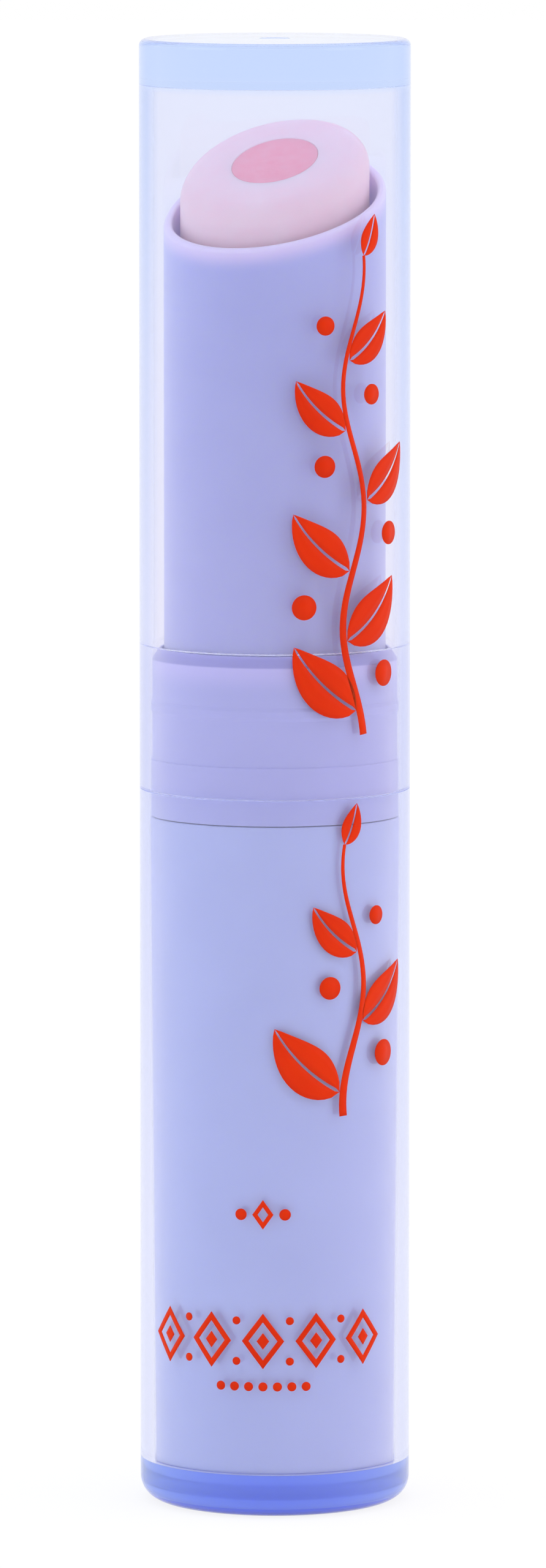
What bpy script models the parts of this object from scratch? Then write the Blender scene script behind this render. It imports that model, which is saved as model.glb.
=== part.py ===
# Slim twist-up lipstick in a clear two-part case, modelled in metres with +Z up.
# It stands on the underside of its base at z = 0, with the case's axis on Z.
# Holding the base and turning the tube drives two lugs up a pair of helical grooves,
# which raises the bullet; the clear cap pulls straight off.

import math

import bmesh
import bpy
from mathutils import Matrix, Vector

MM = 0.001

# How finely round pieces are divided
ROUND_STEPS = 48
FILLET_STEPS = 3
LUG_SIDES = 16
RING_SIDES = 8
SHARP_ANGLE = math.radians(35)

# Fits between pieces
run_clearance = 0.15 * MM
seat_clearance = 0.10 * MM
cut_overrun = 1.0 * MM

# Bullet: a pale outer stick round a deeper core, cut at a slant
bullet_radius = 5.55 * MM
bullet_length = 37.7 * MM
bullet_edge_radius = 1.0 * MM
bullet_foot_gap = 0.10 * MM
core_radius = 2.45 * MM
core_gap = 0.06 * MM
face_slant = math.radians(25)
face_heading = math.radians(67)

# Carrier: cup with a vented floor, hollow stem and two lugs in one moulding
cup_wall = 0.32 * MM
cup_depth = 8.0 * MM
cup_floor = 0.8 * MM
cup_rest_gap = 0.30 * MM
rib_count = 6
rib_height = 0.25 * MM
rib_width = 0.5 * MM
rib_sink = 0.15 * MM
rib_stop = 1.2 * MM
stem_wall = 0.9 * MM
stem_foot = 1.5 * MM
vent_radius = 0.8 * MM
lug_radius = 0.75 * MM
lug_anchor = 0.45 * MM

# Guide tube with its slanted mouth, a little flatter than the bullet's face
mouth_slant = math.radians(21.5)
mouth_heading = math.radians(65)
tube_wall = 0.5 * MM
tube_rim_radius = 0.16 * MM
tube_seat = 5.7 * MM
bullet_reveal = 2.3 * MM
cup_mouth_margin = 0.83 * MM

# Slotted fork inside the tube's foot
fork_inset = 0.9 * MM
fork_wall = 0.7 * MM
fork_seat = 4.0 * MM
hook_reach = 0.45 * MM
hook_height = 0.8 * MM
hook_side_gap = 0.30 * MM
hook_floor_gap = 0.5 * MM

# Spiral sleeve with two helical grooves
spiral_wall = 1.0 * MM
groove_depth = 0.6 * MM
groove_lead = 16.0 * MM
groove_starts = 2
groove_steps_per_turn = 30
groove_end_wall = 2.08 * MM
spiral_lead_in = 0.25 * MM
key_count = 4
key_height = 0.25 * MM
key_width = 1.2 * MM
key_length = 4.0 * MM
key_sink = 0.3 * MM

# Friction ring between the tube's foot and the spiral
ring_thickness = 1.1 * MM
ring_gap = 0.2 * MM

# Collar that the cap clicks over
collar_wall = 0.55 * MM
collar_height = 8.5 * MM
collar_skirt = 1.4 * MM
collar_land = 2.0 * MM
shoulder_height = 0.6 * MM
shoulder_width = 0.42 * MM
shoulder_edge_radius = 0.15 * MM
bead_height = 0.08 * MM
bead_width = 0.8 * MM
bead_level = 5.12 * MM

# Base: clear shell with a thick floor, and the lavender liner inside it
base_floor = 2.6 * MM
base_edge_radius = 0.6 * MM
base_rim_radius = 0.15 * MM
base_corner_radius = 0.6 * MM
recess_rim = 2.2 * MM
recess_depth = 0.3 * MM
liner_wall = 0.67 * MM
liner_floor = 0.8 * MM
liner_edge_radius = 0.5 * MM
liner_top_gap = 0.3 * MM

# Cap: clear, with a thick top
cap_wall = 0.65 * MM
cap_top = 2.67 * MM
cap_edge_radius = 0.5 * MM
cap_rim_radius = 0.15 * MM
cap_corner_radius = 0.4 * MM
cap_headroom = 1.88 * MM
cap_step = 0.2 * MM
cap_step_gap = 0.3 * MM
seam_gap = 0.3 * MM

# Radii, from the bullet outwards
cup_bore = bullet_radius
cup_radius = cup_bore + cup_wall
tube_bore = cup_radius + run_clearance
tube_radius = tube_bore + tube_wall
collar_bore = tube_radius + seat_clearance
collar_radius = collar_bore + collar_wall
bead_radius = collar_radius + bead_height
cap_mouth_bore = bead_radius + seat_clearance
cap_bore = cap_mouth_bore - cap_step
case_radius = cap_mouth_bore + cap_wall

# Radii of the works in the base
fork_radius = tube_bore - fork_inset
fork_bore = fork_radius - fork_wall
stem_radius = fork_bore - run_clearance
hook_radius = fork_radius + hook_reach
spiral_bore = fork_radius + run_clearance
spiral_radius = spiral_bore + spiral_wall
groove_radius = spiral_bore + groove_depth
lug_reach = groove_radius - run_clearance
liner_low_bore = spiral_radius + seat_clearance
liner_low_radius = liner_low_bore + liner_wall
liner_top_bore = tube_radius + run_clearance
liner_top_radius = liner_top_bore + liner_wall
shell_low_bore = liner_low_radius + seat_clearance
shell_top_bore = liner_top_radius + seat_clearance
skirt_radius = shell_top_bore - run_clearance

# Grooves: wide enough, across their slope, for the lugs
groove_slope = math.atan2(groove_lead, 2 * math.pi * spiral_bore)
groove_half_width = (lug_radius + run_clearance) / math.cos(groove_slope)
mouth_rise = math.tan(mouth_slant)
face_rise = math.tan(face_slant)

# How far the bullet travels: until the cup's rim is just under the mouth's low side
travel = (bullet_length - bullet_reveal - tube_radius * mouth_rise
          - cup_depth - cup_mouth_margin)

# Levels, from the bottom up
liner_bottom = base_floor + seat_clearance
liner_inside = liner_bottom + liner_floor
hook_bottom = liner_inside + hook_floor_gap
hook_top = hook_bottom + hook_height
spiral_bottom = hook_top + run_clearance
lug_level = spiral_bottom + groove_end_wall + groove_half_width
lug_top_level = lug_level + travel
spiral_top = lug_top_level + groove_half_width + groove_end_wall
ring_level = spiral_top + ring_gap + ring_thickness / 2
tube_foot = ring_level + ring_thickness / 2 + ring_gap
fork_top = tube_foot + fork_seat
cup_bottom = fork_top + cup_rest_gap
cup_inside = cup_bottom + cup_floor
cup_rim = cup_inside + cup_depth
bullet_foot = cup_inside + bullet_foot_gap
bullet_face = cup_inside + bullet_length
mouth_level = bullet_face - bullet_reveal
base_top = tube_foot + tube_seat
skirt_bottom = base_top - collar_skirt
liner_top = skirt_bottom - liner_top_gap
collar_top = base_top + collar_height
cap_rim = base_top + seam_gap
cap_step_level = collar_top + cap_step_gap
cap_ceiling = bullet_face + bullet_radius * face_rise + cap_headroom
case_top = cap_ceiling + cap_top


# Scene set-up

def clear_scene():
    for old in list(bpy.data.objects):
        bpy.data.objects.remove(old, do_unlink=True)


def new_collection(name):
    group = bpy.data.collections.new(name)
    bpy.context.scene.collection.children.link(group)
    return group


def new_axis(name, parent=None):
    # An empty on the case's axis, which carries the pieces that move together
    axis = bpy.data.objects.new(name, None)
    parts.objects.link(axis)
    axis.parent = parent
    return axis


def new_material(name, colour, roughness, transmission=0.0, ior=1.5):
    material = bpy.data.materials.new(name)
    material.use_nodes = True
    shader = material.node_tree.nodes["Principled BSDF"]
    shader.inputs["Base Color"].default_value = (*colour, 1.0)
    shader.inputs["Roughness"].default_value = roughness
    shader.inputs["Metallic"].default_value = 0.0
    shader.inputs["Transmission Weight"].default_value = transmission
    shader.inputs["IOR"].default_value = ior
    return material


# Shapes

def outline(corners, closed):
    # Corners are (radius, level) or (radius, level, fillet); a fillet becomes an arc.
    points = []
    count = len(corners)
    for index, corner in enumerate(corners):
        here = Vector(corner[:2])
        fillet = corner[2] if len(corner) > 2 else 0.0
        if not fillet or (not closed and index in (0, count - 1)):
            points.append(here)
            continue
        before = Vector(corners[index - 1][:2]) - here
        after = Vector(corners[(index + 1) % count][:2]) - here
        half = before.angle(after) / 2
        reach = min(fillet / math.tan(half), before.length / 2, after.length / 2)
        fillet = reach * math.tan(half)
        first = here + before.normalized() * reach
        centre = here + (before.normalized() + after.normalized()).normalized() * fillet / math.sin(half)
        sweep = (first - centre).angle_signed(here + after.normalized() * reach - centre)
        for step in range(FILLET_STEPS + 1):
            turn = Matrix.Rotation(-sweep * step / FILLET_STEPS, 2)
            points.append(centre + turn @ (first - centre))
    return points


def add_mesh_object(name, mesh, group):
    thing = bpy.data.objects.new(name, mesh)
    group.objects.link(thing)
    return thing


def turned(name, corners, closed=False):
    # A profile in the XZ plane, down its outer side, turned once round Z
    points = outline(corners, closed)
    edges = [(i, i + 1) for i in range(len(points) - 1)]
    if closed:
        edges.append((len(points) - 1, 0))
    mesh = bpy.data.meshes.new(name)
    mesh.from_pydata([(p.x, 0.0, p.y) for p in points], edges, [])
    thing = add_mesh_object(name, mesh, parts)
    screw = thing.modifiers.new("Turn", "SCREW")
    screw.angle = 2 * math.pi
    screw.steps = ROUND_STEPS
    screw.render_steps = ROUND_STEPS
    screw.use_merge_vertices = True
    screw.merge_threshold = 0.01 * MM
    return thing


def hide_cutter(thing):
    thing.display_type = "WIRE"
    thing.hide_render = True
    return thing


def block(name, size, centre, angle=0.0):
    # A box for cutting or joining, turned about the case's axis
    shape = bmesh.new()
    bmesh.ops.create_cube(shape, size=1.0)
    bmesh.ops.scale(shape, vec=size, verts=shape.verts)
    bmesh.ops.translate(shape, vec=centre, verts=shape.verts)
    bmesh.ops.rotate(shape, matrix=Matrix.Rotation(angle, 3, "Z"), verts=shape.verts)
    mesh = bpy.data.meshes.new(name)
    shape.to_mesh(mesh)
    shape.free()
    return hide_cutter(add_mesh_object(name, mesh, cutters))


def helix_cutter(name, start_angle):
    # A rectangle in the radial plane, swept up the helix past both ends of the lug's travel
    end_allowance = (lug_radius + run_clearance) / spiral_bore
    swept_angle = 2 * math.pi * travel / groove_lead + 2 * end_allowance
    steps = math.ceil(groove_steps_per_turn * swept_angle / (2 * math.pi))
    rise = groove_lead * swept_angle / (2 * math.pi)
    low = lug_level - groove_lead * end_allowance / (2 * math.pi)
    shape = bmesh.new()
    inner = spiral_bore - groove_depth
    corners = [(inner, low - groove_half_width), (groove_radius, low - groove_half_width),
               (groove_radius, low + groove_half_width), (inner, low + groove_half_width)]
    face = shape.faces.new([shape.verts.new((r, 0.0, z)) for r, z in corners])
    bmesh.ops.rotate(shape, matrix=Matrix.Rotation(start_angle - end_allowance, 3, "Z"),
                     verts=shape.verts)
    bmesh.ops.spin(shape, geom=[face], axis=(0, 0, 1), cent=(0, 0, 0),
                   dvec=(0, 0, rise / steps), angle=swept_angle, steps=steps)
    bmesh.ops.recalc_face_normals(shape, faces=shape.faces)
    mesh = bpy.data.meshes.new(name)
    shape.to_mesh(mesh)
    shape.free()
    return hide_cutter(add_mesh_object(name, mesh, cutters))


def lug_pin(name, angle):
    # A short round pin that starts inside the stem's wall and points away from the axis
    root = stem_radius - lug_anchor
    shape = bmesh.new()
    bmesh.ops.create_cone(shape, cap_ends=True, segments=LUG_SIDES, radius1=lug_radius,
                          radius2=lug_radius, depth=lug_reach - root)
    bmesh.ops.rotate(shape, matrix=Matrix.Rotation(math.pi / 2, 3, "Y"), verts=shape.verts)
    bmesh.ops.translate(shape, vec=((lug_reach + root) / 2, 0.0, lug_level), verts=shape.verts)
    bmesh.ops.rotate(shape, matrix=Matrix.Rotation(angle, 3, "Z"), verts=shape.verts)
    mesh = bpy.data.meshes.new(name)
    shape.to_mesh(mesh)
    shape.free()
    return hide_cutter(add_mesh_object(name, mesh, cutters))


def combine(thing, other, operation):
    boolean = thing.modifiers.new(other.name, "BOOLEAN")
    boolean.operation = operation
    boolean.object = other
    boolean.solver = "EXACT"


def settle(thing, slanted_above=None, rise=0.0, heading=0.0):
    # Turns the modifiers into a mesh, tilts the points above a level, and shades it
    graph = bpy.context.evaluated_depsgraph_get()
    mesh = bpy.data.meshes.new_from_object(thing.evaluated_get(graph))
    thing.modifiers.clear()
    thing.data = mesh
    if slanted_above is not None:
        for vertex in mesh.vertices:
            if vertex.co.z > slanted_above:
                uphill = vertex.co.x * math.cos(heading) + vertex.co.y * math.sin(heading)
                vertex.co.z += uphill * rise
    mesh.shade_smooth()
    mesh.set_sharp_from_angle(angle=SHARP_ANGLE)


def finish(thing, material, parent):
    thing.data.materials.clear()
    thing.data.materials.append(material)
    thing.parent = parent


# Pieces of the base

def make_base_shell():
    recess_radius = case_radius - recess_rim
    shell = turned("base_shell", [
        (0.0, base_floor),
        (shell_low_bore, base_floor, base_corner_radius),
        (shell_top_bore, liner_top),
        (shell_top_bore, base_top, base_rim_radius),
        (case_radius, base_top, base_rim_radius),
        (case_radius, 0.0, base_edge_radius),
        (recess_radius, 0.0, base_rim_radius),
        (recess_radius, recess_depth, base_rim_radius),
        (0.0, recess_depth)])
    settle(shell)
    finish(shell, clear_plastic, base_axis)


def make_base_liner():
    hook_room = hook_radius + hook_side_gap
    ledge = spiral_bottom - seat_clearance
    liner = turned("base_liner", [
        (0.0, liner_inside),
        (hook_room, liner_inside),
        (hook_room, ledge),
        (liner_low_bore, ledge),
        (liner_low_bore, spiral_top),
        (liner_top_bore, spiral_top),
        (liner_top_bore, liner_top),
        (liner_top_radius, liner_top),
        (liner_low_radius, liner_bottom, liner_edge_radius),
        (0.0, liner_bottom)])
    key_room = key_height + 2 * seat_clearance
    for index in range(key_count):
        angle = 2 * math.pi * index / key_count
        notch = block(
            f"key_notch_{index + 1}",
            (2 * key_room, key_width + 2 * seat_clearance, key_length + seat_clearance + cut_overrun),
            (liner_low_bore, 0.0, spiral_top + (cut_overrun - key_length - seat_clearance) / 2),
            angle)
        combine(liner, notch, "DIFFERENCE")
    settle(liner)
    finish(liner, lavender_plastic, base_axis)


def make_spiral_sleeve():
    sleeve = turned("spiral_sleeve", [
        (spiral_radius, spiral_top),
        (spiral_radius, spiral_bottom),
        (spiral_bore, spiral_bottom),
        (spiral_bore, spiral_top - spiral_lead_in),
        (spiral_bore + spiral_lead_in, spiral_top)], closed=True)
    for index in range(key_count):
        key = block(
            f"spiral_key_{index + 1}",
            (key_height + key_sink, key_width, key_length),
            (spiral_radius + (key_height - key_sink) / 2, 0.0, spiral_top - key_length / 2),
            2 * math.pi * index / key_count)
        combine(sleeve, key, "UNION")
    for index in range(groove_starts):
        groove = helix_cutter(f"groove_{index + 1}", 2 * math.pi * index / groove_starts)
        combine(sleeve, groove, "DIFFERENCE")
    settle(sleeve)
    finish(sleeve, white_plastic, base_axis)


# Pieces that turn with the tube

def make_guide_tube():
    tube = turned("guide_tube", [
        (tube_radius, mouth_level, tube_rim_radius),
        (tube_radius, tube_foot),
        (tube_bore, tube_foot),
        (tube_bore, mouth_level, tube_rim_radius)], closed=True)
    settle(tube, (mouth_level + tube_foot) / 2, mouth_rise, mouth_heading)
    finish(tube, lavender_plastic, turn_axis)


def make_collar():
    bead = base_top + bead_level
    land = base_top + collar_land
    collar = turned("collar", [
        (collar_radius - shoulder_width, collar_top),
        (collar_radius, collar_top - shoulder_height, shoulder_edge_radius),
        (collar_radius, bead + bead_width / 2),
        (bead_radius, bead + bead_width / 4),
        (bead_radius, bead - bead_width / 4),
        (collar_radius, bead - bead_width / 2),
        (collar_radius, land),
        (bead_radius, land),
        (bead_radius, base_top),
        (skirt_radius, base_top),
        (skirt_radius, skirt_bottom),
        (collar_bore, skirt_bottom),
        (collar_bore, collar_top)], closed=True)
    settle(collar)
    finish(collar, lavender_plastic, turn_axis)


def make_slotted_fork():
    flange_radius = tube_bore - seat_clearance
    slot_top = lug_top_level + lug_radius + 2 * run_clearance
    slot_bottom = hook_bottom - cut_overrun
    fork = turned("slotted_fork", [
        (flange_radius, fork_top),
        (flange_radius, tube_foot),
        (fork_radius, tube_foot),
        (fork_radius, hook_top),
        (hook_radius, hook_top),
        (hook_radius, hook_top - hook_height / 3),
        (fork_radius, hook_bottom),
        (fork_bore, hook_bottom),
        (fork_bore, tube_foot),
        (flange_radius - fork_wall, tube_foot + fork_wall),
        (flange_radius - fork_wall, fork_top)], closed=True)
    slot = block(
        "lug_slots",
        (2 * (hook_radius + cut_overrun), 2 * (lug_radius + run_clearance), slot_top - slot_bottom),
        (0.0, 0.0, (slot_top + slot_bottom) / 2))
    combine(fork, slot, "DIFFERENCE")
    settle(fork)
    finish(fork, white_plastic, turn_axis)


def make_friction_ring():
    bpy.ops.mesh.primitive_torus_add(
        major_radius=fork_radius + seat_clearance / 2 + ring_thickness / 2,
        minor_radius=ring_thickness / 2,
        major_segments=ROUND_STEPS, minor_segments=RING_SIDES,
        location=(0.0, 0.0, ring_level))
    ring = bpy.context.object
    ring.name = "friction_ring"
    for group in list(ring.users_collection):
        group.objects.unlink(ring)
    parts.objects.link(ring)
    ring.data.shade_smooth()
    finish(ring, silicone, turn_axis)


# Pieces that rise with the bullet

def make_carrier():
    stem_bottom = lug_level - stem_foot
    stem_bore = stem_radius - stem_wall
    carrier = turned("carrier", [
        (cup_radius, cup_rim),
        (cup_radius, cup_bottom),
        (stem_radius, cup_bottom),
        (stem_radius, stem_bottom),
        (stem_bore, stem_bottom),
        (stem_bore, cup_bottom),
        (vent_radius, cup_bottom),
        (vent_radius, cup_inside),
        (cup_bore, cup_inside),
        (cup_bore, cup_rim)], closed=True)
    for index in range(groove_starts):
        lug = lug_pin(f"lug_{index + 1}", 2 * math.pi * index / groove_starts)
        combine(carrier, lug, "UNION")
    rib_length = cup_depth - rib_stop
    for index in range(rib_count):
        rib = block(
            f"cup_rib_{index + 1}",
            (rib_height + rib_sink, rib_width, rib_length + rib_sink),
            (cup_bore + (rib_sink - rib_height) / 2, 0.0, cup_inside + (rib_length - rib_sink) / 2),
            2 * math.pi * (index + 0.5) / rib_count)
        combine(carrier, rib, "UNION")
    settle(carrier)
    finish(carrier, white_plastic, slide_axis)


def make_bullet_shell():
    foot_radius = cup_bore - rib_height - seat_clearance
    bore = core_radius + core_gap
    shell = turned("bullet_shell", [
        (bullet_radius, bullet_face, bullet_edge_radius),
        (bullet_radius, cup_rim + bullet_foot_gap),
        (foot_radius, cup_rim + bullet_foot_gap),
        (foot_radius, bullet_foot),
        (bore, bullet_foot),
        (bore, bullet_face)], closed=True)
    settle(shell, (bullet_face + cup_rim) / 2, face_rise, face_heading)
    finish(shell, pale_wax, slide_axis)


def make_bullet_core():
    core = turned("bullet_core", [
        (0.0, bullet_face),
        (core_radius, bullet_face),
        (core_radius, bullet_foot),
        (0.0, bullet_foot)])
    settle(core, (bullet_face + cup_rim) / 2, face_rise, face_heading)
    finish(core, pink_wax, slide_axis)


# The cap

def make_cap():
    cap = turned("cap", [
        (0.0, case_top),
        (case_radius, case_top, cap_edge_radius),
        (case_radius, cap_rim, cap_rim_radius),
        (cap_mouth_bore, cap_rim, cap_rim_radius),
        (cap_mouth_bore, cap_step_level),
        (cap_bore, cap_step_level),
        (cap_bore, cap_ceiling, cap_corner_radius),
        (0.0, cap_ceiling)])
    settle(cap)
    finish(cap, clear_plastic, cap_axis)


clear_scene()
parts = new_collection("lipstick")
cutters = new_collection("cutters")

clear_plastic = new_material("clear_plastic", (0.80, 0.84, 0.98), 0.05, transmission=0.95, ior=1.57)
lavender_plastic = new_material("lavender_plastic", (0.47, 0.51, 0.79), 0.35)
white_plastic = new_material("white_plastic", (0.83, 0.83, 0.85), 0.40)
silicone = new_material("silicone", (0.72, 0.74, 0.78), 0.60)
pale_wax = new_material("pale_wax", (0.77, 0.60, 0.80), 0.45)
pink_wax = new_material("pink_wax", (0.72, 0.37, 0.58), 0.45)

base_axis = new_axis("base_axis")
turn_axis = new_axis("turn_axis", base_axis)
slide_axis = new_axis("slide_axis", turn_axis)
cap_axis = new_axis("cap_axis", slide_axis)

make_base_shell()
make_base_liner()
make_spiral_sleeve()
make_guide_tube()
make_collar()
make_slotted_fork()
make_friction_ring()
make_carrier()
make_bullet_shell()
make_bullet_core()
make_cap()

print("travel mm", round(travel / MM, 3), "turns", round(travel / groove_lead, 4))
print("case radius mm", round(case_radius / MM, 3), "height mm", round(case_top / MM, 3))
print("base top mm", round(base_top / MM, 3), "bullet face mm", round(bullet_face / MM, 3))
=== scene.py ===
import math

import bmesh
import bpy
from mathutils import Matrix, Vector


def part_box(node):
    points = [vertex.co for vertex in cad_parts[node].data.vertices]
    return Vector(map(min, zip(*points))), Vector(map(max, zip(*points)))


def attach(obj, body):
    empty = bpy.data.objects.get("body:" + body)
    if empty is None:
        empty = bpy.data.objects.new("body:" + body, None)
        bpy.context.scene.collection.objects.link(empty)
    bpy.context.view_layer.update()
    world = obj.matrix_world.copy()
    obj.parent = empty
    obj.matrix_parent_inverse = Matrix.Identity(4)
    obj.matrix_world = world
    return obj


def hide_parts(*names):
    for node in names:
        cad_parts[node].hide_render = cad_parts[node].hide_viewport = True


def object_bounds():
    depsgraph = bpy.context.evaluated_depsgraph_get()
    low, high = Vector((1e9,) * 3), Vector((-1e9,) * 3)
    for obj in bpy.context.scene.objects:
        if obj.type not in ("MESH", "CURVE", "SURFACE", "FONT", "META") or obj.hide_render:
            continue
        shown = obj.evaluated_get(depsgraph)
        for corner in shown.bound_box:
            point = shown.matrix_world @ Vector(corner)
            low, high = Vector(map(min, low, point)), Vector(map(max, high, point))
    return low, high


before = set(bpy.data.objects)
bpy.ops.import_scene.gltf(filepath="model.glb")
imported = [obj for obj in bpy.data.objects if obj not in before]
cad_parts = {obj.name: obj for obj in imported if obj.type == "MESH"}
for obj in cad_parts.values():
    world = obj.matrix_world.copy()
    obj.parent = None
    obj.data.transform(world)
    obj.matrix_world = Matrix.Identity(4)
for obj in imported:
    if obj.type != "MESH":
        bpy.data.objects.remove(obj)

mm = 0.001
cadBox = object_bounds()
print("frame loaded")

# How finely round shapes are divided; points nearer than the weld become one
roundness = {
    "turnSteps": 160, "filletSteps": 10, "dotSteps": 28,
    "sharpAngle": math.radians(40), "weld": 0.0005 * mm,
}

# The slants of the tube's mouth and of the bullet's face: how steep, and which way is uphill
mouthSlant = {"angle": math.radians(21.5), "heading": math.radians(65)}
faceSlant = {"angle": math.radians(25), "heading": math.radians(67)}

# Sizes that several pieces share, read from the frame; the print lies inside the case's size
lowCase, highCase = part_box("base_shell")
lowCap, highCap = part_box("cap")
ink = {"lift": 0.01 * mm, "thickness": 0.02 * mm}
caseRadius = highCap.x - ink["lift"] - ink["thickness"]
tintDepth = 0.3 * mm  # how deep the clear pieces' blue skin goes


# Colour and node helpers

def hexColour(code):
    # sRGB hex to the linear colour that shaders work in
    channels = [int(code[i:i + 2], 16) / 255 for i in (1, 3, 5)]
    linear = [c / 12.92 if c <= 0.04045 else ((c + 0.055) / 1.055) ** 2.4 for c in channels]
    return (*linear, 1.0)


white = hexColour("#FFFFFF")
# A Mix node's colour sockets go by number, since its plain ones have the same names
colourA, colourB, mixedColour = 6, 7, 2


def addNode(tree, kind, inputs=None, options=None, stops=None):
    # Inputs are named or numbered sockets, each given a plain value or another node's output
    node = tree.nodes.new(kind)
    for option, value in (options or {}).items():
        setattr(node, option, value)
    for socket, value in (inputs or {}).items():
        if isinstance(value, bpy.types.NodeSocket):
            tree.links.new(value, node.inputs[socket])
        else:
            node.inputs[socket].default_value = value
    if stops:
        ramp = node.color_ramp
        while len(ramp.elements) < len(stops):
            ramp.elements.new(1.0)
        for element, (place, code) in zip(ramp.elements, stops):
            element.position = place
            element.color = hexColour(code)
    return node


def newMaterial(name):
    material = bpy.data.materials.new(name)
    material.use_nodes = True
    material.node_tree.nodes.clear()
    return material, material.node_tree


def axisDistance(tree, place):
    # How far a point stands from the lipstick's upright axis
    flat = addNode(tree, "ShaderNodeVectorMath", {0: place.outputs["Object"], 1: (1.0, 1.0, 0.0)},
                   {"operation": "MULTIPLY"})
    reach = addNode(tree, "ShaderNodeVectorMath", {0: flat.outputs[0]}, {"operation": "LENGTH"})
    return reach.outputs["Value"]


# Where on the noise each tone of a dye is full, and how fine the noise is
softPatches = {"deepAt": 0.3, "paleAt": 0.7, "patchDetail": 3.0}


def patchyDye(tree, vector, look):
    # Two close tones in soft patches of a real width, as no dye is quite even
    patches = addNode(tree, "ShaderNodeTexNoise", {
        "Vector": vector, "Scale": 1 / (look["patchWidth"] * mm), "Detail": look["patchDetail"]})
    tones = addNode(tree, "ShaderNodeValToRGB", {"Fac": patches.outputs[0]},
                    stops=[(look["deepAt"], look["deep"]), (look["paleAt"], look["pale"])])
    return patches.outputs[0], tones.outputs[0]


# Materials: widths, depths and reaches in their looks are in millimetres

def clearStyrene(name, look):
    # Clear styrene, moulded in a polished tool and tinted blue: sharp reflections, hardly any
    # haze, a cast that sits mostly in the outer skin and deepens a little with the plastic
    material, tree = newMaterial(name)
    place = addNode(tree, "ShaderNodeTexCoord")
    height = addNode(tree, "ShaderNodeSeparateXYZ", {0: place.outputs["Object"]})
    share = addNode(tree, "ShaderNodeMath", {0: height.outputs["Z"], 1: highCap.z},
                    {"operation": "DIVIDE"})
    face = addNode(tree, "ShaderNodeValToRGB", {"Fac": share.outputs[0]}, stops=look["faceTints"])
    # Light that leaves the skin at a grazing angle has run along inside the wall: bluer edges
    edge = addNode(tree, "ShaderNodeValToRGB", {"Fac": share.outputs[0]}, stops=look["edgeTints"])
    grazing = addNode(tree, "ShaderNodeLayerWeight")
    turn = addNode(tree, "ShaderNodeMapRange", {
        "Value": grazing.outputs["Facing"], "From Min": look["edgeFrom"],
        "From Max": look["edgeTo"]})
    skin = addNode(tree, "ShaderNodeMath", {
        0: axisDistance(tree, place), 1: caseRadius - tintDepth}, {"operation": "GREATER_THAN"})
    edgeShare = addNode(tree, "ShaderNodeMath", {0: turn.outputs[0], 1: skin.outputs[0]},
                        {"operation": "MULTIPLY"})
    outside = addNode(tree, "ShaderNodeMix", {
        "Factor": edgeShare.outputs[0], colourA: face.outputs[0], colourB: edge.outputs[0]},
        {"data_type": "RGBA"})
    # Behind the skin the plastic stays untinted, except above tintAbove
    above = addNode(tree, "ShaderNodeMath", {0: height.outputs["Z"], 1: look["tintAbove"]},
                    {"operation": "GREATER_THAN"})
    dyed = addNode(tree, "ShaderNodeMath", {0: skin.outputs[0], 1: above.outputs[0]},
                   {"operation": "MAXIMUM"})
    tint = addNode(tree, "ShaderNodeMix", {
        "Factor": dyed.outputs[0], colourA: white, colourB: outside.outputs[mixedColour]},
        {"data_type": "RGBA"})
    # Handling leaves a faint, long haze on the polish, a few millimetres across
    haze = addNode(tree, "ShaderNodeTexNoise", {
        "Vector": place.outputs["Object"], "Scale": 1 / (look["hazeWidth"] * mm),
        "Detail": look["hazeDetail"]})
    rough = addNode(tree, "ShaderNodeMapRange", {
        "Value": haze.outputs[0], "To Min": look["polish"], "To Max": look["haze"]})
    # Light that has run round inside for long is let out by the plastic's own faint cloudiness
    path = addNode(tree, "ShaderNodeLightPath")
    trapped = addNode(tree, "ShaderNodeMath", {
        0: path.outputs["Ray Depth"], 1: look["clearTurns"]}, {"operation": "GREATER_THAN"})
    cloudy = addNode(tree, "ShaderNodeMath", {0: trapped.outputs[0], 1: look["cloudiness"]},
                     {"operation": "MULTIPLY"})
    gloss = addNode(tree, "ShaderNodeMath", {0: rough.outputs[0], 1: cloudy.outputs[0]},
                    {"operation": "MAXIMUM"})
    shader = addNode(tree, "ShaderNodeBsdfPrincipled", {
        "Base Color": tint.outputs[mixedColour], "Roughness": gloss.outputs[0],
        "Transmission Weight": look["clearness"], "IOR": look["ior"]})
    volume = addNode(tree, "ShaderNodeVolumeAbsorption", {
        "Color": hexColour(look["depthColour"]), "Density": look["depthPerMm"] / mm})
    addNode(tree, "ShaderNodeOutputMaterial", {
        "Surface": shader.outputs[0], "Volume": volume.outputs[0]})
    return material


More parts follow.
